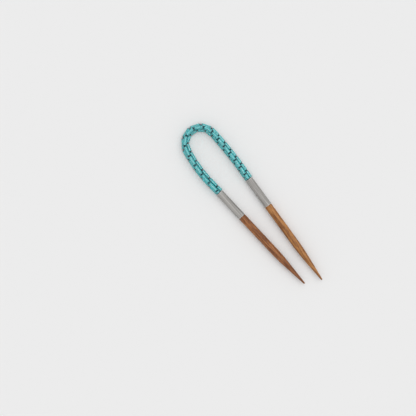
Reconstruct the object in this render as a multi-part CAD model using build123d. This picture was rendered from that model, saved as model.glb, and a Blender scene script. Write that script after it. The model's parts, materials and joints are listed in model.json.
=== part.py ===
from build123d import *
from math import asin, atan, cos, hypot, pi, radians, sin, tan
import os

# Flexible loop stitch marker, lying flat as it does on a table.
# A beaded rope is bent into a U, and each of its ends sits in a metal ferrule that carries
# a tapered wooden point. The points and ferrules are one needle size thick and the rope is
# a little thicker, so stitches slide on over either point and round the loop.
# +Y runs from the points to the crown of the U, and +Z is up from the table.
# Lengths are millimetres and angles are degrees.

# The needle size of the points and ferrules, and the circle that the beaded rope fills
needle_diameter = 2.75
rope_diameter = 3.2

# The rope's centre line, from the right ferrule's mouth over the crown to the left one's.
# The springy wire splays out a little at each mouth, and then bends in along each leg.
mouth_bend_length = 3.0
right_leg_length = 18.3
left_leg_length = 16.4
crown_radius = 5.7
right_splay_angle = 1.0
left_splay_angle = 2.6
right_leg_bend_angle = 7.0
left_leg_bend_angle = 18.3
loop_turn_angle = 187.2
right_leg_lean_angle = 4.55

# Tube beads: three columns round the core wire, staggered by about a third of a bead
courses = 16
course_growth_share = 0.14
column_spacing_angle = 120.0
bead_wall = 0.34
bead_edge = 0.05
bead_end_gap = 0.34
bead_corner_gap = 0.08
bead_side_gap = 0.05
roll_angle_at_start = -14.0
roll_angle_at_finish = 19.0

# Core wire, and the stringing threads through the beads with a knot at every joint
wire_clearance = 0.06
thread_diameter = 0.16
thread_bend_share = 0.12
knot_radius = 0.42
knot_length = 0.16

# Ferrules: plain drawn tubes with broken edges
ferrule_length = 11.8
ferrule_wall = 0.25
ferrule_edge = 0.06

# End plugs: they close the ferrules' mouths and hold the wire and the threads
plug_length = 3.2
plug_clearance = 0.02
plug_hole_clearance = 0.03

# Wooden points: a tenon in the ferrule, a straight stretch and a tapered tip
point_straight = 16.6
point_taper = 16.4
point_tip_radius = 0.30
point_blend_share = 0.20
point_edge = 0.08
tenon_length = 6.0
tenon_clearance = 0.02

# Sizes that follow from those above
needle_radius = needle_diameter / 2
splay_turn_angle = right_splay_angle + left_splay_angle
crown_turn_angle = loop_turn_angle + splay_turn_angle - right_leg_bend_angle - left_leg_bend_angle
crown_length = crown_radius * radians(crown_turn_angle)
rope_arcs = [
    (mouth_bend_length, radians(-right_splay_angle)),
    (right_leg_length, radians(right_leg_bend_angle)),
    (crown_length, radians(crown_turn_angle)),
    (left_leg_length, radians(left_leg_bend_angle)),
    (mouth_bend_length, radians(-left_splay_angle)),
]
rope_length = sum(length for length, _ in rope_arcs)
start_heading = radians(90 - right_leg_lean_angle)
mean_course = rope_length / courses
# A straight bead's middle falls inside the bend of the crown by this much
bead_sag = mean_course**2 / (8 * crown_radius)
# Equal circles that touch the rope's circle from inside, kept apart by what the bend needs
rope_radius = rope_diameter / 2
column_gap = bead_side_gap + bead_sag
spacing_share = sin(radians(column_spacing_angle / 2))
bead_radius = (spacing_share * rope_radius - column_gap / 2) / (spacing_share + 1)
bore_radius = bead_radius - bead_wall
column_radius = rope_radius - bead_radius
wire_radius = column_radius - bead_radius - bead_sag / 2 - wire_clearance
ferrule_bore_radius = needle_radius - ferrule_wall

# Each column's place round the core, clockwise from the top as seen along the rope from the
# right leg to the left, and how far its first joint lies along the rope, in courses
columns = {
    "outer": {"angle": column_spacing_angle, "first_joint_share": 0.0},
    "inner": {"angle": -column_spacing_angle, "first_joint_share": 0.44},
    "top": {"angle": 0.0, "first_joint_share": 0.73},
}


def rope_frame(s):
    """Plan position and heading of the rope's centre line at a length s along it."""
    x, y, heading = 0.0, 0.0, start_heading
    if s > 0:
        for length, turn in rope_arcs:
            part = min(s, length)
            radius = length / turn
            swept = part / radius
            x += radius * (sin(heading + swept) - sin(heading))
            y -= radius * (cos(heading + swept) - cos(heading))
            heading += swept
            s -= part
    return x + s * cos(heading), y + s * sin(heading), heading


def course_place(course):
    """Length along the rope of a place counted in courses, which are longer in the left leg."""
    along_share = course / courses
    lag_share = course_growth_share * sin(pi * along_share) / pi
    return rope_length * (along_share - lag_share)


def core_point(s):
    """A point on the rope's axis, at the needle's height above the table."""
    x, y, _ = rope_frame(s)
    return Vector(x, y, needle_radius)


def column_point(s, angle):
    """A point on the axis of the column at this angle, set out where the rope bends."""
    _, _, heading = rope_frame(s)
    outward = Vector(sin(heading), -cos(heading), 0)
    # Half of a straight bead's sag lies outside its place in the rope, and half inside
    turn_here = rope_frame(s + mean_course / 2)[2] - rope_frame(s - mean_course / 2)[2]
    sag = mean_course * turn_here / 8
    along_share = min(max(s, 0), rope_length) / rope_length
    roll = roll_angle_at_start + (roll_angle_at_finish - roll_angle_at_start) * along_share
    lean = radians(angle + roll)
    side = column_radius * sin(lean) + sag / 2
    return core_point(s) + outward * side + Vector(0, 0, column_radius * cos(lean))


def column_joints(column):
    """Places along the rope where this column's beads meet, with both mouths as ends."""
    first = column["first_joint_share"]
    places = [course_place(first + count) for count in range(courses)]
    if first > 0:
        places.insert(0, 0.0)
    return places + [rope_length]


def end_cuts(points):
    """How far each bead is cut back at each joint, so that its corners clear its neighbour's."""
    cuts = [bead_end_gap / 2]
    for before, here, after in zip(points, points[1:], points[2:]):
        half_turn = radians((here - before).get_angle(after - here)) / 2
        cuts.append(max(bead_end_gap / 2, bead_corner_gap / 2 + bead_radius * tan(half_turn)))
    return cuts + [bead_end_gap / 2]


def tube_bead(start, finish, start_cut, finish_cut):
    """One straight glass tube bead between two joints of its column, its outer rims broken."""
    along = (finish - start).normalized()
    length = (finish - start).length - start_cut - finish_cut
    tube = extrude(Circle(bead_radius) - Circle(bore_radius), length)
    rims = tube.edges().filter_by(GeomType.CIRCLE).filter_by(lambda e: e.radius > bore_radius)
    return Plane(start + along * start_cut, z_dir=along) * chamfer(rims, bead_edge)


def make_beads():
    """Every bead by its name, numbered along its column from the right leg."""
    beads = {}
    for name, column in columns.items():
        points = [column_point(s, column["angle"]) for s in column_joints(column)]
        cuts = end_cuts(points)
        spans = zip(points, points[1:], cuts, cuts[1:])
        for count, (start, finish, start_cut, finish_cut) in enumerate(spans, start=1):
            beads[f"{name}_bead_{count:02d}"] = tube_bead(start, finish, start_cut, finish_cut)
    return beads


def make_core_wire():
    """The springy wire along the rope's axis, held in both end plugs."""
    path = [Line(core_point(-plug_length), core_point(0))]
    start = 0.0
    for length, _ in rope_arcs:
        stops = [core_point(start + share * length) for share in (0.0, 0.5, 1.0)]
        path.append(ThreePointArc(*stops))
        start += length
    path.append(Line(core_point(rope_length), core_point(rope_length + plug_length)))
    line = Wire(path)
    return sweep(Plane(line @ 0, z_dir=line % 0) * Circle(wire_radius), path=line)


def make_thread(column):
    """The thread that strings one column of beads, turned a little and knotted at each joint."""
    places = [-plug_length] + column_joints(column) + [rope_length + plug_length]
    points = [column_point(s, column["angle"]) for s in places]
    radii = []
    for before, here, after in zip(points, points[1:], points[2:]):
        turn = radians((here - before).get_angle(after - here))
        run = min((here - before).length, (after - here).length)
        radii.append(thread_bend_share * run / tan(turn / 2))
    line = FilletPolyline(*points, radius=radii)
    thread = sweep(Plane(line @ 0, z_dir=line % 0) * Circle(thread_diameter / 2), path=line)
    joints = points[1:-1]
    for before, here, after in zip(joints, joints[1:], joints[2:]):
        knot_plane = Plane(here, z_dir=(here - before).normalized() + (after - here).normalized())
        thread += extrude(knot_plane * Circle(knot_radius), knot_length / 2, both=True)
    return thread


def make_ferrule():
    """A plain tube from its mouth at zero up to the wooden point."""
    ring = Circle(needle_radius) - Circle(ferrule_bore_radius)
    tube = extrude(ring, ferrule_length)
    rims = tube.edges().filter_by(GeomType.CIRCLE).filter_by(lambda e: e.radius > ferrule_bore_radius)
    return chamfer(rims, ferrule_edge)


def make_plug(mouth_s, away):
    """A round plug flush with the ferrule's mouth, with holes for the wire and the threads."""
    plane = mouth_plane(mouth_s, away)
    plug = extrude(plane * Circle(ferrule_bore_radius - plug_clearance), plug_length)
    holes = [(core_point(mouth_s), wire_radius)]
    for column in columns.values():
        holes.append((column_point(mouth_s, column["angle"]), thread_diameter / 2))
    for place, radius in holes:
        hole_plane = Plane(place, z_dir=plane.z_dir)
        plug -= extrude(hole_plane * Circle(radius + plug_hole_clearance), plug_length)
    return plug


def make_wooden_point():
    """A turned point from its shoulder at zero: a tenon behind it, then the straight and the taper."""
    tenon_radius = ferrule_bore_radius - tenon_clearance
    tip_centre = point_straight + point_taper - point_tip_radius
    corner = point_straight + point_blend_share * point_taper
    reach = tip_centre - corner
    slope = atan(needle_radius / reach) - asin(point_tip_radius / hypot(reach, needle_radius))
    blend_end_y = corner + (corner - point_straight) * cos(slope)
    blend_end_x = needle_radius - (corner - point_straight) * sin(slope)
    tip_y = tip_centre + point_tip_radius * sin(slope)
    tip_x = point_tip_radius * cos(slope)
    tip_end = tip_centre + point_tip_radius
    outline = [
        Line((0, -tenon_length), (tenon_radius - point_edge, -tenon_length)),
        Line((tenon_radius - point_edge, -tenon_length), (tenon_radius, point_edge - tenon_length)),
        Line((tenon_radius, point_edge - tenon_length), (tenon_radius, 0)),
        Line((tenon_radius, 0), (needle_radius - point_edge, 0)),
        Line((needle_radius - point_edge, 0), (needle_radius, point_edge)),
        Line((needle_radius, point_edge), (needle_radius, point_straight)),
        TangentArc((needle_radius, point_straight), (blend_end_x, blend_end_y), tangent=(0, 1)),
        Line((blend_end_x, blend_end_y), (tip_x, tip_y)),
        TangentArc((tip_x, tip_y), (0, tip_end), tangent=(-sin(slope), cos(slope))),
        Line((0, tip_end), (0, -tenon_length)),
    ]
    turned = revolve(make_face(outline), Axis.Y)
    return turned.rotate(Axis.X, 90)


def mouth_plane(s, away):
    """The plane of a ferrule's mouth, with its normal along the ferrule, away from the rope."""
    _, _, heading = rope_frame(s)
    return Plane(core_point(s), z_dir=Vector(cos(heading), sin(heading), 0) * away)


def make_ends():
    """Ferrule, plug and wooden point on each end of the rope."""
    ends = {}
    for side, mouth_s, away in (("right", 0.0, -1), ("left", rope_length, 1)):
        mouth = mouth_plane(mouth_s, away)
        ends[f"{side}_ferrule"] = mouth * make_ferrule()
        ends[f"{side}_end_plug"] = make_plug(mouth_s, away)
        ends[f"{side}_wooden_point"] = mouth.offset(ferrule_length) * make_wooden_point()
    return ends


def make_marker():
    """All pieces by name, with the origin under the middle of the marker's footprint."""
    pieces = make_beads()
    pieces["core_wire"] = make_core_wire()
    for name, column in columns.items():
        pieces[f"{name}_thread"] = make_thread(column)
    pieces.update(make_ends())
    box = Compound(children=[Part(piece.wrapped) for piece in pieces.values()]).bounding_box()
    to_origin = Vector(-box.center().X, -box.center().Y, -box.min.Z)
    return {name: Pos(to_origin) * piece for name, piece in pieces.items()}, to_origin


if __name__ == "__main__":
    os.makedirs("parts", exist_ok=True)
    marker, _ = make_marker()
    for node, solid in marker.items():
        export_step(solid, f"parts/{node}.step")
    print(len(marker), "pieces, rope", round(rope_length, 2), "bead diameter", round(2 * bead_radius, 3))
    print("wire diameter", round(2 * wire_radius, 3), "bore", round(2 * bore_radius, 3))
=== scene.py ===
import json
import math

import bpy
import numpy as np
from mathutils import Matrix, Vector

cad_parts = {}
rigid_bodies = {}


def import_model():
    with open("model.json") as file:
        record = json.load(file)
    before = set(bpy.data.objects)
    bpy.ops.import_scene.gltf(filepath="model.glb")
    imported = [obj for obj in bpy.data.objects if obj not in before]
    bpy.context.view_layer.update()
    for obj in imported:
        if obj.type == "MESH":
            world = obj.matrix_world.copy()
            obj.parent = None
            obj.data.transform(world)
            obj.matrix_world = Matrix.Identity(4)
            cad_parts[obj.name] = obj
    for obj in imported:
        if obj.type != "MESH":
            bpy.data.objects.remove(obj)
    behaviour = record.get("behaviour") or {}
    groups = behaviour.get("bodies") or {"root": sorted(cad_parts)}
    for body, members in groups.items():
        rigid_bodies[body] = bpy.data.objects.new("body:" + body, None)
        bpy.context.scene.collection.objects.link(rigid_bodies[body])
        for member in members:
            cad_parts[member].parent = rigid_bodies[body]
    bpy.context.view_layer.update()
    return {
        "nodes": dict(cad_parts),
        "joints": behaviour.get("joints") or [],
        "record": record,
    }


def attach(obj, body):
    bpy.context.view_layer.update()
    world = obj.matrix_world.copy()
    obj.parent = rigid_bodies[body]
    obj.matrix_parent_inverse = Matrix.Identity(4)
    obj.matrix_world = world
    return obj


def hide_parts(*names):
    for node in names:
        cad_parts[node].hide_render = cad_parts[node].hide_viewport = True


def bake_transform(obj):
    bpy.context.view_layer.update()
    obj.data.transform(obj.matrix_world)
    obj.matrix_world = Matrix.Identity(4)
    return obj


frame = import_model()
MM = 0.001

# Core wire: the springy coated strand down the middle of the rope, which gives the loop its
# shape. Both its ends are held in the plugs of the ferrules. It is drawn as one stretch over
# each hinge of the rope.
wire_radius = 0.0915 * MM
wire_colour = (0.060, 0.420, 0.450, 1)
worn_wire_colour = (0.280, 0.560, 0.570, 1)
wire_wear_size = 0.4 * MM
wire_wear_share = 0.4
wire_roughness = (0.45, 0.30)
route_steps = 12
strand_roundness = 3
spot_edge_softness = 0.1


def node(tree, kind, inputs=None, **settings):
    """Add a node to a tree, with its settings, and with inputs that are set or linked."""
    made = tree.nodes.new(kind)
    for key, value in settings.items():
        setattr(made, key, value)
    for key, value in (inputs or {}).items():
        if isinstance(value, bpy.types.NodeSocket):
            tree.links.new(value, made.inputs[key])
        else:
            made.inputs[key].default_value = value
    return made


def calc(tree, operation, *values):
    """The result of a Math node whose inputs are numbers or other nodes' outputs."""
    return node(tree, "ShaderNodeMath", dict(enumerate(values)), operation=operation).outputs[0]


def blend_colours(tree, share, first, second):
    """A colour between two colours, at a share that a number or another node gives."""
    inputs = {0: share, 6: first, 7: second}
    return node(tree, "ShaderNodeMix", inputs, data_type="RGBA").outputs[2]


def ramp(tree, value, low, high, to_low=0.0, to_high=1.0):
    """A value's stretch from low to high, laid out smoothly between two other values."""
    inputs = {0: value, 1: low, 2: high, 3: to_low, 4: to_high}
    return node(tree, "ShaderNodeMapRange", inputs, interpolation_type="SMOOTHSTEP").outputs[0]


def bump(tree, height, depth):
    """A normal that follows a height over the surface."""
    return node(tree, "ShaderNodeBump", {"Height": height, "Distance": depth}).outputs["Normal"]


def new_tree(name, kind, outputs, inputs):
    """A node group with named sockets, each given as its name and its kind."""
    tree = bpy.data.node_groups.new(name, kind)
    for in_out, sockets in (("OUTPUT", outputs), ("INPUT", inputs)):
        for socket, socket_kind in sockets.items():
            tree.interface.new_socket(socket, in_out=in_out, socket_type="NodeSocket" + socket_kind)
    return tree, node(tree, "NodeGroupInput").outputs


def speckle_group():
    """A cloudy pattern in a part's own space, between 0 and 1, with spots of a given size."""
    sockets = {"Size": "Float", "Detail": "Float", "Share": "Float"}
    tree, given = new_tree("speckle", "ShaderNodeTree", {"Spots": "Float"}, sockets)
    place = node(tree, "ShaderNodeTexCoord").outputs["Object"]
    scale = calc(tree, "DIVIDE", 1.0, given["Size"])
    inputs = {"Vector": place, "Scale": scale, "Detail": given["Detail"]}
    clouds = node(tree, "ShaderNodeTexNoise", inputs).outputs[0]
    # Nearly all of the noise lies between 0.3 and 0.7, so the share picks its edge from there
    edge = calc(tree, "MULTIPLY_ADD", given["Share"], -0.4, 0.7)
    below = calc(tree, "SUBTRACT", edge, spot_edge_softness)
    above = calc(tree, "ADD", edge, spot_edge_softness)
    spots = ramp(tree, clouds, below, above)
    node(tree, "NodeGroupOutput", {"Spots": spots})
    return tree


def speckle(tree, size, share, detail=2.0):
    """Soft spots of about this size, over this share of the surface."""
    inputs = {"Size": size, "Share": share, "Detail": detail}
    return node(tree, "ShaderNodeGroup", inputs, node_tree=spots_group).outputs[0]


def new_material(name, **values):
    """A node material, its tree and its Principled shader, with plain values set on it."""
    material = bpy.data.materials.new(name)
    material.use_nodes = True
    shader = material.node_tree.nodes["Principled BSDF"]
    for key, value in values.items():
        shader.inputs[key.replace("_", " ")].default_value = value
    return material, material.node_tree, shader


def feed(tree, shader, **sources):
    """Link nodes' outputs to inputs of a shader, by their names."""
    for key, source in sources.items():
        tree.links.new(source, shader.inputs[key.replace("_", " ")])


def long_axis(name):
    """Both ends of a round CAD piece's axis: the way that its faces look along least."""
    mesh = frame["nodes"][name].data
    spread = np.zeros((3, 3))
    for face in mesh.polygons:
        spread += face.area * np.outer(face.normal, face.normal)
    along = np.linalg.eigh(spread)[1][:, 0]
    points = np.array([v.co for v in mesh.vertices])
    reach = points @ along
    across = points - np.outer(reach, along)
    middle = (across.min(0) + across.max(0)) / 2
    return middle + along * reach.min(), middle + along * reach.max()


def nearest_first(ends, place):
    """The two ends of an axis, the one nearer to a place first."""
    return sorted(ends, key=lambda end: np.linalg.norm(end - np.array(place)))


def chain_of_hinges():
    """The rope's hinges from the right ferrule to the left one, with the bodies they join."""
    joints = {joint["child"]: joint for joint in frame["joints"]}
    chains = []
    for body in ("right_end", "left_end"):
        chain = []
        while body in joints:
            joint = joints[body]
            chain.append((np.array(joint["pos_m"]), body, joint["parent"]))
            body = joint["parent"]
        chains.append(chain)
    right, left = chains
    return right + [(place, parent, child) for place, child, parent in left[::-1]]


def smooth_route(knots):
    """Points on a smooth curve through the given ones, with the same number in each span."""
    knots = np.array(knots)
    before = np.vstack([2 * knots[0] - knots[1], knots[:-1]])
    after = np.vstack([knots[1:], 2 * knots[-1] - knots[-2]])
    slopes = (after - before) / 2
    t = (np.arange(route_steps) / route_steps)[:, None]
    spans = [
        (1 + 2 * t) * (1 - t) ** 2 * a + t * (1 - t) ** 2 * u
        + t * t * (3 - 2 * t) * b - t * t * (1 - t) * v
        for a, b, u, v in zip(knots, knots[1:], slopes, slopes[1:])
    ]
    return np.vstack(spans + [knots[-1:]])


def strands(name, routes, radius):
    """Closed round strands along some routes, as one mesh with its place in its vertices."""
    curve = bpy.data.curves.new(name, "CURVE")
    curve.dimensions = "3D"
    curve.bevel_depth = radius
    curve.bevel_resolution = strand_roundness
    curve.use_fill_caps = True
    for route in routes:
        spline = curve.splines.new("POLY")
        spline.points.add(len(route) - 1)
        for point, place in zip(spline.points, route):
            point.co = (*place, 1)
    holder = bpy.data.objects.new(name, curve)
    bpy.context.scene.collection.objects.link(holder)
    mesh = bpy.data.meshes.new_from_object(holder)
    bpy.data.objects.remove(holder)
    mesh.shade_smooth()
    piece = bpy.data.objects.new(name, mesh)
    bpy.context.scene.collection.objects.link(piece)
    return piece


def stretches(route):
    """A strand's route cut halfway between neighbouring hinges: one stretch over each."""
    cuts = [int(np.argmin(np.linalg.norm(route - place, axis=1))) for place in halfway]
    ends = zip([0] + cuts, cuts + [len(route) - 1])
    return [route[first : last + 1] for first, last in ends]


def bend_over_hinge(piece, count):
    """Bake a stretch of strand's place into its mesh; its hinge lies in the middle of the stretch.
    """
    neighbours = hinges[max(count - 1, 0) : count + 2]
    along = neighbours[-1][0] - neighbours[0][0]
    along = along / np.linalg.norm(along)
    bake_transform(piece)


spots_group = speckle_group()
hinges = chain_of_hinges()
halfway = [(a[0] + b[0]) / 2 for a, b in zip(hinges, hinges[1:])]
right_plug_ends = nearest_first(long_axis("right_end_plug"), hinges[0][0])
left_plug_ends = nearest_first(long_axis("left_end_plug"), hinges[-1][0])

wire_material, tree, shader = new_material("coated_wire", Metallic=0.6)
wear = speckle(tree, wire_wear_size, wire_wear_share)
feed(
    tree, shader,
    Base_Color=blend_colours(tree, wear, wire_colour, worn_wire_colour),
    Roughness=ramp(tree, wear, 0.0, 1.0, *wire_roughness),
)

wire_knots = [right_plug_ends[1], right_plug_ends[0]]
wire_knots += [place for place, _, _ in hinges]
wire_knots += [left_plug_ends[0], left_plug_ends[1]]
for count, stretch in enumerate(stretches(smooth_route(wire_knots))):
    piece = strands(f"core_wire_{count + 1:02d}", [stretch], wire_radius)
    piece.data.materials.append(wire_material)
    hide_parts("core_wire")
    bend_over_hinge(piece, count)

# Stringing threads: a dark twisted thread runs through the bores of each column of beads. It
# is wound round itself at every joint, out and back again where the joint is wide enough,
# which keeps the beads' ends apart. Its ends are glued in the plugs of the ferrules.
thread_radius = 0.08 * MM
winding_turns = 3
winding_steps = 14
thread_colour = (0.003, 0.045, 0.060, 1)
fibre_colour = (0.010, 0.110, 0.140, 1)
fibre_size = 0.06 * MM
fibre_share = 0.5
fibre_depth = 0.02 * MM


def column_axes(column):
    """The axes of one column's beads in their order along the rope, each from right to left."""
    here = right_plug_ends[0]
    axes = []
    for name in sorted(n for n in frame["nodes"] if n.startswith(column + "_bead")):
        start, here = nearest_first(long_axis(name), here)
        axes.append((start, here))
    return axes


def winding(before, after):
    """A spiral of thread in the gap between two beads, out and back where the gap is wide.

    Where the rope bends, the gap is narrower on one side: the spiral has to fit in there.
    """
    middle = Vector((before[1] + after[0]) / 2)
    ways = [Vector(axis[1] - axis[0]).normalized() for axis in (before, after)]
    way = (ways[0] + ways[1]).normalized()
    across = way.orthogonal().normalized()
    other = way.cross(across)
    thickness = 2 * thread_radius
    gap = np.linalg.norm(after[0] - before[1])
    tight_gap = gap - 2 * thickness * winding_turns * math.tan(ways[0].angle(ways[1]) / 2)
    turns = np.linspace(0, winding_turns, winding_turns * winding_steps + 1)
    layers = [(0, 1, turns)]
    if tight_gap > 2 * thickness:
        layers = [(-thread_radius, 1, turns), (thread_radius, -1, turns[::-1])]
    route = []
    for shift, hand, layer in layers:
        for turn in layer:
            angle = math.tau * turn
            outwards = across * math.cos(angle) + other * math.sin(angle) * hand
            route.append(middle + way * shift + outwards * thickness * turn)
    return route


thread_material, tree, shader = new_material("beading_thread", Roughness=0.75, Sheen_Weight=0.25)
fibres = speckle(tree, fibre_size, fibre_share, detail=3.0)
feed(
    tree, shader,
    Base_Color=blend_colours(tree, fibres, thread_colour, fibre_colour),
    Normal=bump(tree, fibres, fibre_depth),
)

thread_routes = [[] for _ in hinges]
for column in ("outer", "inner", "top"):
    axes = column_axes(column)
    right_run = right_plug_ends[1] - right_plug_ends[0]
    left_run = left_plug_ends[1] - left_plug_ends[0]
    knots = [axes[0][0] + right_run] + [end for axis in axes for end in axis]
    route = smooth_route(knots + [axes[-1][1] + left_run])
    for routes, stretch in zip(thread_routes, stretches(route)):
        routes.append(stretch)
    for before, after in zip(axes, axes[1:]):
        middle = (before[1] + after[0]) / 2
        hinge = min(range(len(hinges)), key=lambda k: np.linalg.norm(hinges[k][0] - middle))
        thread_routes[hinge].append(winding(before, after))
for count, routes in enumerate(thread_routes):
    piece = strands(f"threads_{count + 1:02d}", routes, thread_radius)
    piece.data.materials.append(thread_material)
    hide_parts("outer_thread", "inner_thread", "top_thread")
    bend_over_hinge(piece, count)

# Tube beads: clear teal glass drawn over a thin silvered core tube, cut to length and fire
# polished. Three columns of them are strung round the wire, staggered by about a third of a
# bead. Each piece here is one course of three, which moves as one body.
bead_sides = 48
lip_steps = 3
lip_radius = 0.055 * MM
core_radius = 0.39 * MM
core_gap = 0.004 * MM
widest_lip_share = 0.4
bead_seed = 7
glass_colour = (0.250, 0.650, 0.670, 1)
deep_glass_colour = (0.150, 0.570, 0.600, 1)
slanting_glass_colour = (0.020, 0.800, 0.830, 1)
# Painted shade: the deep teal that each glass bead darkens to at its ends, for the shade in the
# gaps between beads
glass_end_shade_colour = (0.006, 0.150, 0.190, 1)
silver_colour = (0.88, 0.95, 0.94, 1)
tarnish_colour = (0.70, 0.82, 0.80, 1)
# Painted shade: the dark teal that the silvered core darkens to at each bead's ends, for the shade
# in the gaps between beads
silver_end_shade_colour = (0.006, 0.090, 0.120, 1)
glass_streak_size = 0.9 * MM
glass_roughness = (0.02, 0.05)
slant_reach = 0.40
glass_end_shade_reach = (0.90, 0.98)
tarnish_size = 0.5 * MM
silver_roughness = (0.34, 0.50)
silver_end_shade_reach = (0.90, 0.97)


def bead_radii(name):
    """The outer radius of a bead and the radius of its bore."""
    start, finish = long_axis(name)
    along = (finish - start) / np.linalg.norm(finish - start)
    points = np.array([v.co for v in frame["nodes"][name].data.vertices]) - start
    distances = np.linalg.norm(points - np.outer(points @ along, along), axis=1)
    return float(distances.max()), float(distances.min())


def tube_bead_tree():
    """Geometry nodes that put a tube bead on each point, turned and stretched to its axis."""
    sockets = {"Bead centres": "Geometry", "Outer radius": "Float", "Bore radius": "Float"}
    sockets |= {"Core radius": "Float", "Core gap": "Float", "Lip radius": "Float"}
    sockets |= {"Sides": "Int", "Lip steps": "Int", "Glass": "Material", "Silver": "Material"}
    tree, given = new_tree("tube_beads", "GeometryNodeTree", {"Beads": "Geometry"}, sockets)

    # The glass and the core are short tubes of one height: each is a rounded section that is
    # turned round a circle of its wall's middle radius
    tubes = node(tree, "GeometryNodeJoinGeometry")
    height = calc(tree, "SUBTRACT", given["Outer radius"], given["Bore radius"])
    core_outside = calc(tree, "SUBTRACT", given["Core radius"], given["Core gap"])
    layers = (given["Core radius"], given["Outer radius"]), (given["Bore radius"], core_outside)
    for inside, outside in layers:
        wall = calc(tree, "SUBTRACT", outside, inside)
        middle = calc(tree, "MULTIPLY_ADD", wall, 0.5, inside)
        circle = {"Resolution": given["Sides"], "Radius": middle}
        ring = node(tree, "GeometryNodeCurvePrimitiveCircle", circle).outputs[0]
        size = {"Width": wall, "Height": height}
        section = node(tree, "GeometryNodeCurvePrimitiveQuadrilateral", size).outputs[0]
        widest_lip = calc(tree, "MULTIPLY", wall, widest_lip_share)
        lip = calc(tree, "MINIMUM", given["Lip radius"], widest_lip)
        fillet = {"Curve": section, "Count": given["Lip steps"], "Radius": lip}
        rounded = node(tree, "GeometryNodeFilletCurve", fillet, mode="POLY").outputs[0]
        sweep = {"Curve": ring, "Profile Curve": rounded}
        tree.links.new(node(tree, "GeometryNodeCurveToMesh", sweep).outputs[0], tubes.inputs[0])

    # The core's faces and the inside of the glass are silvered, and the others are clear
    place = node(tree, "GeometryNodeInputPosition").outputs[0]
    parts = node(tree, "ShaderNodeSeparateXYZ", {0: place}).outputs
    flat = node(tree, "ShaderNodeCombineXYZ", {0: parts[0], 1: parts[1]}).outputs[0]
    from_axis = node(tree, "ShaderNodeVectorMath", {0: flat}, operation="LENGTH").outputs["Value"]
    silvered_reach = calc(tree, "ADD", given["Core radius"], given["Core gap"])
    in_core = calc(tree, "LESS_THAN", from_axis, silvered_reach)
    store, of_faces = "GeometryNodeStoreNamedAttribute", {"data_type": "BOOLEAN", "domain": "FACE"}
    keep = {"Geometry": tubes.outputs[0], "Name": "in_core", "Value": in_core}
    marked = node(tree, store, keep, **of_faces).outputs[0]

    # Each end of the short tube remembers which way it goes when the bead is stretched
    keep = {"Geometry": marked, "Name": "end_side", "Value": calc(tree, "SIGN", parts[2])}
    kept = node(tree, store, keep, data_type="FLOAT").outputs[0]
    named = "GeometryNodeInputNamedAttribute"
    axis = node(tree, named, {"Name": "axis"}, data_type="FLOAT_VECTOR").outputs[0]
    turn = node(tree, "FunctionNodeAlignRotationToVector", {"Vector": axis}, axis="Z").outputs[0]
    strung = {"Points": given["Bead centres"], "Instance": kept, "Rotation": turn}
    beads = node(tree, "GeometryNodeInstanceOnPoints", strung).outputs[0]
    real = node(tree, "GeometryNodeRealizeInstances", {"Geometry": beads}).outputs[0]
    half = node(tree, named, {"Name": "half_length"}, data_type="FLOAT").outputs[0]
    side = node(tree, named, {"Name": "end_side"}, data_type="FLOAT").outputs[0]
    run = calc(tree, "MULTIPLY", side, calc(tree, "MULTIPLY_ADD", height, -0.5, half))
    move = {0: axis, "Scale": run}
    offset = node(tree, "ShaderNodeVectorMath", move, operation="SCALE").outputs[0]
    moved = {"Geometry": real, "Offset": offset}
    stretched = node(tree, "GeometryNodeSetPosition", moved).outputs[0]
    smooth = node(tree, "GeometryNodeSetShadeSmooth", {"Geometry": stretched}).outputs[0]
    core = node(tree, named, {"Name": "in_core"}, data_type="BOOLEAN").outputs[0]
    glazed = {"Geometry": smooth, "Material": given["Glass"]}
    glass = node(tree, "GeometryNodeSetMaterial", glazed).outputs[0]
    silver = {"Geometry": glass, "Selection": core, "Material": given["Silver"]}
    silvered = node(tree, "GeometryNodeSetMaterial", silver).outputs[0]
    node(tree, "NodeGroupOutput", {0: silvered})
    return tree


def set_inputs(modifier, **values):
    """Set a node modifier's inputs by their names, through their sockets' identifiers."""
    sockets = modifier.node_group.interface.items_tree
    identifiers = {s.name: s.identifier for s in sockets if s.in_out == "INPUT"}
    for name, value in values.items():
        modifier[identifiers[name.replace("_", " ")]] = value


def point_attribute(mesh, name, kind, field, values):
    """A named attribute on a mesh's points, filled with one value a point."""
    attribute = mesh.attributes.new(name, kind, "POINT")
    attribute.data.foreach_set(field, np.ravel(values))


glass_material, tree, shader = new_material("teal_glass", IOR=1.52, Transmission_Weight=0.7)
tint = node(tree, "ShaderNodeAttribute", attribute_name="tint").outputs["Fac"]
streaks = speckle(tree, glass_streak_size, 0.5)
# The glass is between its two tones, deeper in some beads and in the streaks
depth = calc(tree, "MULTIPLY_ADD", tint, 0.35, calc(tree, "MULTIPLY_ADD", streaks, 0.15, 0.4))
straight = blend_colours(tree, depth, glass_colour, deep_glass_colour)
facing = node(tree, "ShaderNodeLayerWeight").outputs["Facing"]
slant = ramp(tree, facing, 0.0, slant_reach)
clear = blend_colours(tree, slant, straight, slanting_glass_colour)
# Painted shade: the glass darkens towards each bead's ends, standing for the shade in the gaps
# between beads
reach = node(tree, "ShaderNodeAttribute", attribute_name="end_side").outputs["Fac"]
glass_end_shade = ramp(tree, calc(tree, "ABSOLUTE", reach), *glass_end_shade_reach)
feed(
    tree, shader,
    Base_Color=blend_colours(tree, glass_end_shade, clear, glass_end_shade_colour),
    Roughness=ramp(tree, streaks, 0.0, 1.0, *glass_roughness),
)

silver_material, tree, shader = new_material("silvered_core", Metallic=1.0)
tarnish = speckle(tree, tarnish_size, 0.35, detail=4.0)
silvering = blend_colours(tree, tarnish, silver_colour, tarnish_colour)
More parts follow.
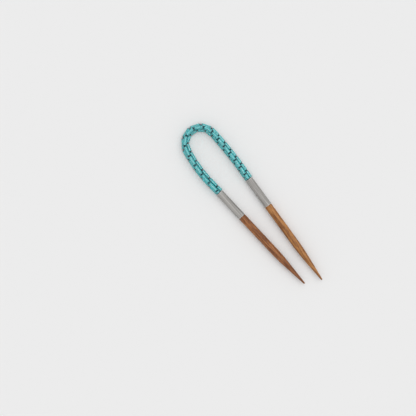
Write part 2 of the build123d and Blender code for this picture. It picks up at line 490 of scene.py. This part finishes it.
# Painted shade: the silvered core darkens towards each bead's ends, standing for the shade in the
# gaps between beads
reach = node(tree, "ShaderNodeAttribute", attribute_name="end_side").outputs["Fac"]
silver_end_shade = ramp(tree, calc(tree, "ABSOLUTE", reach), *silver_end_shade_reach)
feed(
    tree, shader,
    Base_Color=blend_colours(tree, silver_end_shade, silvering, silver_end_shade_colour),
    Roughness=ramp(tree, tarnish, 0.0, 1.0, *silver_roughness),
)

bead_tree = tube_bead_tree()
bead_radius, bore_radius = bead_radii("top_bead_09")
tints = np.random.default_rng(bead_seed)
for body, members in frame["record"]["behaviour"]["bodies"].items():
    names = [name for name in members if "_bead_" in name]
    ends = np.array([long_axis(name) for name in names])
    runs = ends[:, 1] - ends[:, 0]
    lengths = np.linalg.norm(runs, axis=1)
    centres = bpy.data.meshes.new(f"bead_centres_{body}")
    centres.from_pydata(ends.mean(1), [], [])
    point_attribute(centres, "axis", "FLOAT_VECTOR", "vector", runs / lengths[:, None])
    point_attribute(centres, "half_length", "FLOAT", "value", lengths / 2)
    point_attribute(centres, "tint", "FLOAT", "value", tints.uniform(-1, 1, len(names)))
    holder = bpy.data.objects.new(f"bead_centres_{body}", centres)
    bpy.context.scene.collection.objects.link(holder)
    modifier = holder.modifiers.new("tube_beads", "NODES")
    modifier.node_group = bead_tree
    set_inputs(modifier, Outer_radius=bead_radius, Bore_radius=bore_radius, Lip_radius=lip_radius)
    set_inputs(modifier, Core_radius=core_radius, Core_gap=core_gap)
    set_inputs(modifier, Sides=bead_sides, Lip_steps=lip_steps)
    set_inputs(modifier, Glass=glass_material, Silver=silver_material)
    graph = bpy.context.evaluated_depsgraph_get()
    mesh = bpy.data.meshes.new_from_object(holder.evaluated_get(graph))
    bpy.data.objects.remove(holder)
    piece = bpy.data.objects.new(f"beads_{body}", mesh)
    bpy.context.scene.collection.objects.link(piece)
    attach(piece, body)
    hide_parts(*names)

# End plugs: dark moulded resin that closes each ferrule's mouth, and holds the wire and the
# ends of the three threads. Only its face shows, between the first beads and the rim.
plug_colour = (0.012, 0.034, 0.038, 1)
plug_speck_colour = (0.035, 0.080, 0.085, 1)
plug_speck_size = 0.15 * MM
plug_speck_depth = 0.01 * MM
plug_roughness = (0.42, 0.60)

plug_material, tree, shader = new_material("plug_resin")
specks = speckle(tree, plug_speck_size, 0.4, detail=3.0)
feed(
    tree, shader,
    Base_Color=blend_colours(tree, specks, plug_colour, plug_speck_colour),
    Roughness=ramp(tree, specks, 0.0, 1.0, *plug_roughness),
    Normal=bump(tree, specks, plug_speck_depth),
)
for side in ("right", "left"):
    plug = frame["nodes"][f"{side}_end_plug"]
    plug.data.materials.clear()
    plug.data.materials.append(plug_material)

# Ferrules: drawn aluminium tube, cut square with broken edges, and glued over the tenon of
# the wooden point at one end and over the rope's plug at the other. Its satin finish has
# fine streaks along its length, and both rims are rubbed bright. The broad dark bands are
# partly satin streaks and partly painted reflection, seeded to lie where the tube's
# reflections are light and dark.
metal_colour = (0.480, 0.466, 0.446, 1)
# Partly painted reflection: the colour of the broad dark bands, which are satin streaks and also
# stand for the tube's darker reflections
dull_streak_and_reflection_colour = (0.325, 0.315, 0.301, 1)
rubbed_metal_colour = (0.560, 0.552, 0.540, 1)
metal_streak_width = 0.35 * MM
metal_streak_length = 14 * MM
rim_wear_length = 0.35 * MM
# Seeds that place the broad bands where the tube's light and dark reflections fall, so the bands
# are partly painted reflection
streak_and_reflection_seeds = {"right": 37, "left": 57}
metal_streak_depth = 0.008 * MM
metal_roughness = (0.60, 0.72)
line_fineness = 5.0


def lengthwise_grain_group():
    """Streaks along the Y axis: broad bands, and fine lines between them."""
    sockets = {"Place": "Vector", "Width": "Float", "Length": "Float", "Seed": "Float"}
    outputs = {"Bands": "Float", "Lines": "Float"}
    tree, given = new_tree("lengthwise_grain", "ShaderNodeTree", outputs, sockets)
    parts = node(tree, "ShaderNodeSeparateXYZ", {0: given["Place"]}).outputs
    across = calc(tree, "DIVIDE", parts[0], given["Width"])
    along = calc(tree, "DIVIDE", parts[1], given["Length"])
    upright = calc(tree, "DIVIDE", parts[2], given["Width"])
    place = node(tree, "ShaderNodeCombineXYZ", {0: across, 1: along, 2: upright}).outputs[0]
    found = {}
    for output, scale in (("Bands", 1.0), ("Lines", line_fineness)):
        inputs = {"Vector": place, "W": given["Seed"], "Scale": scale, "Detail": 2.0}
        found[output] = node(tree, "ShaderNodeTexNoise", inputs, noise_dimensions="4D").outputs[0]
    node(tree, "NodeGroupOutput", found)
    return tree


def worn_ends_group():
    """How close a place along the Y axis lies to either end of a piece: 1 at the very end."""
    sockets = {"Place": "Vector", "Length": "Float", "Reach": "Float"}
    tree, given = new_tree("worn_ends", "ShaderNodeTree", {"Wear": "Float"}, sockets)
    along = node(tree, "ShaderNodeSeparateXYZ", {0: given["Place"]}).outputs[1]
    to_end = calc(tree, "SUBTRACT", given["Length"], along)
    distance = calc(tree, "ABSOLUTE", calc(tree, "MINIMUM", along, to_end))
    near = calc(tree, "SUBTRACT", 1.0, calc(tree, "DIVIDE", distance, given["Reach"]))
    node(tree, "NodeGroupOutput", {"Wear": calc(tree, "MAXIMUM", near, 0.0)})
    return tree


def leg_place(tree, start, finish):
    """The place on a leg, measured from its start, with Y along the leg."""
    place = node(tree, "ShaderNodeTexCoord").outputs["Object"]
    turn = math.atan2(finish[1] - start[1], finish[0] - start[0]) - math.pi / 2
    inputs = {"Vector": place, "Location": start, "Rotation": (0, 0, turn)}
    return node(tree, "ShaderNodeMapping", inputs, vector_type="TEXTURE").outputs[0]


def grain(tree, place, width, length, seed):
    """Bands and fine lines of this width and length along a leg."""
    inputs = {"Place": place, "Width": width, "Length": length, "Seed": seed}
    return node(tree, "ShaderNodeGroup", inputs, node_tree=grain_group).outputs


def wear_at_ends(tree, place, length, reach):
    """How worn a piece of this length is, close to its ends."""
    inputs = {"Place": place, "Length": length, "Reach": reach}
    return node(tree, "ShaderNodeGroup", inputs, node_tree=ends_group).outputs[0]


grain_group = lengthwise_grain_group()
ends_group = worn_ends_group()
ferrules = {
    "right": nearest_first(long_axis("right_ferrule"), hinges[0][0]),
    "left": nearest_first(long_axis("left_ferrule"), hinges[-1][0]),
}
for side, (mouth, shoulder) in ferrules.items():
    metal, tree, shader = new_material(f"satin_metal_{side}", Metallic=1.0)
    place = leg_place(tree, mouth, shoulder)
    length = float(np.linalg.norm(shoulder - mouth))
    streaks = grain(tree, place, metal_streak_width, metal_streak_length, streak_and_reflection_seeds[side])
    rubbed = wear_at_ends(tree, place, length, rim_wear_length)
    # Partly painted reflection: the broad bands darken the metal in streaks, as satin finish and as
    # the tube's darker reflections
    streak_and_reflection_bands = ramp(tree, streaks["Bands"], 0.40, 0.60)
    satin = blend_colours(tree, streak_and_reflection_bands, metal_colour, dull_streak_and_reflection_colour)
    feed(
        tree, shader,
        Base_Color=blend_colours(tree, rubbed, satin, rubbed_metal_colour),
        Roughness=ramp(tree, streaks["Lines"], 0.3, 0.7, *metal_roughness),
        Normal=bump(tree, streaks["Lines"], metal_streak_depth),
    )
    ferrule = frame["nodes"][f"{side}_ferrule"]
    ferrule.data.materials.clear()
    ferrule.data.materials.append(metal)

# Wooden points: amber brown hardwood, turned to needle size, oiled, and glued in the ferrules
# by their tenons. The left one's wood is darker. Both are darker along the taper, the left
# one much more, and a little at the tip and the shoulder from handling.
wood_tones = {
    "right": {"light": (0.520, 0.235, 0.070, 1), "dark": (0.165, 0.056, 0.014, 1)},
    "left": {"light": (0.440, 0.175, 0.058, 1), "dark": (0.120, 0.036, 0.010, 1)},
}
pore_colour = (0.055, 0.022, 0.010, 1)
band_width = 0.5 * MM
band_length = 7 * MM
pore_width = 0.07 * MM
pore_length = 0.9 * MM
figure_seeds = {"right": 21, "left": 29}
pore_seeds = {"right": 7, "left": 8}
line_share = 0.40
pore_share = 0.7
pore_depth = 0.012 * MM
line_depth_share = 0.3
wood_roughness = (0.40, 0.52)
handled_reach = 1.6 * MM
taper_length = 16.4 * MM
# How much darker each point grows along its taper towards the tip
taper_darkening = {"right": 0.08, "left": 0.34}
handled_share = 0.25
wood_gloss = 0.3
wood_polish = 0.05

for side, tones in wood_tones.items():
    gloss = {"Specular_IOR_Level": wood_gloss, "Coat_Weight": wood_polish}
    wood, tree, shader = new_material(f"polished_wood_{side}", **gloss)
    shoulder = ferrules[side][1]
    tip = nearest_first(long_axis(f"{side}_wooden_point"), shoulder)[1]
    place = leg_place(tree, shoulder, tip)
    length = float(np.linalg.norm(tip - shoulder))
    figure = grain(tree, place, band_width, band_length, figure_seeds[side])
    pores = grain(tree, place, pore_width, pore_length, pore_seeds[side])
    bands = ramp(tree, figure["Bands"], 0.42, 0.58)
    lines = ramp(tree, figure["Lines"], 0.40, 0.60)
    dark_bands = calc(tree, "MULTIPLY", bands, 1 - line_share)
    dark = calc(tree, "MULTIPLY_ADD", lines, line_share, dark_bands)
    figured = blend_colours(tree, dark, tones["light"], tones["dark"])
    along = node(tree, "ShaderNodeSeparateXYZ", {0: place}).outputs[1]
    taper_start = length - taper_length
    taper_middle = length - 0.6 * taper_length
    # Darker along the taper towards the tip, much more on the left point than the right
    taper_dark_share = ramp(tree, along, taper_start, taper_middle, 0.0, taper_darkening[side])
    taper_darkened = blend_colours(tree, taper_dark_share, figured, tones["dark"])
    pored = calc(tree, "MULTIPLY", ramp(tree, pores["Bands"], 0.62, 0.72), pore_share)
    grained = blend_colours(tree, pored, taper_darkened, pore_colour)
    near_ends = wear_at_ends(tree, place, length, handled_reach)
    handled = calc(tree, "MULTIPLY", near_ends, handled_share)
    height = calc(tree, "MULTIPLY_ADD", lines, line_depth_share, pored)
    feed(
        tree, shader,
        Base_Color=blend_colours(tree, handled, grained, pore_colour),
        Roughness=ramp(tree, figure["Lines"], 0.3, 0.7, *wood_roughness),
        Normal=bump(tree, height, -pore_depth),
    )
    point = frame["nodes"][f"{side}_wooden_point"]
    point.data.materials.clear()
    point.data.materials.append(wood)

# Floor, light and camera: a plain pale table seen from straight above, in an even pale room
# with broad soft light from the picture's upper right. The camera is turned so that the loop
# lies in the frame as it does in the photo.
floor_colour = (0.84, 0.84, 0.84, 1)
floor_roughness = 0.9
floor_half = 1500 * MM
room_strength = 0.74
background_strength = 0.83
light_lean = math.radians(25)
light_spread = math.radians(65)
light_strength = 0.88
photo_size = 416
photo_scale = 0.36 * MM
mouth_pixel = (248.9, 179.1)
photo_turn = math.radians(-40.5)
camera_lens = 100
camera_sensor = 36

picture_right = Vector((math.cos(photo_turn), math.sin(photo_turn), 0))
picture_up = Vector((-math.sin(photo_turn), math.cos(photo_turn), 0))
aim = Vector(right_plug_ends[0])
aim += picture_right * (photo_size / 2 - mouth_pixel[0]) * photo_scale
aim += picture_up * (mouth_pixel[1] - photo_size / 2) * photo_scale

floor_mesh = bpy.data.meshes.new("floor")
corners = [(-floor_half, -floor_half, 0), (floor_half, -floor_half, 0)]
corners += [(floor_half, floor_half, 0), (-floor_half, floor_half, 0)]
floor_mesh.from_pydata(corners, [], [(0, 1, 2, 3)])
floor = bpy.data.objects.new("floor", floor_mesh)
bpy.context.scene.collection.objects.link(floor)
matt = {"Base_Color": floor_colour, "Roughness": floor_roughness}
floor_material, tree, shader = new_material("pale_floor", **matt)
floor_mesh.materials.append(floor_material)

world = bpy.data.worlds.new("soft_room")
world.use_nodes = True
tree = world.node_tree
rays = node(tree, "ShaderNodeLightPath").outputs
seen = calc(tree, "MAXIMUM", rays["Is Camera Ray"], rays["Is Glossy Ray"])
seen = calc(tree, "MAXIMUM", seen, rays["Is Transmission Ray"])
brighter = background_strength - room_strength
strength = calc(tree, "MULTIPLY_ADD", seen, brighter, room_strength)
feed(tree, tree.nodes["Background"], Strength=strength)
tree.nodes["Background"].inputs["Color"].default_value = (1, 1, 1, 1)
bpy.context.scene.world = world

light_data = bpy.data.lights.new("soft_light", "SUN")
light_data.angle = light_spread
light_data.energy = light_strength
light = bpy.data.objects.new("soft_light", light_data)
from_light = (picture_right + picture_up).normalized() * math.tan(light_lean) + Vector((0, 0, 1))
light.rotation_euler = from_light.to_track_quat("Z", "Y").to_euler()
bpy.context.scene.collection.objects.link(light)

camera_data = bpy.data.cameras.new("camera")
camera_data.lens = camera_lens
camera_data.sensor_width = camera_sensor
camera = bpy.data.objects.new("camera", camera_data)
distance = photo_size * photo_scale * camera_lens / camera_sensor
camera.location = aim + Vector((0, 0, distance))
camera.rotation_euler = (0, 0, photo_turn)
camera_data.clip_start = distance / 10
camera_data.clip_end = distance * 10
bpy.context.scene.collection.objects.link(camera)
bpy.context.scene.camera = camera

bpy.context.scene.view_settings.view_transform = "Standard"
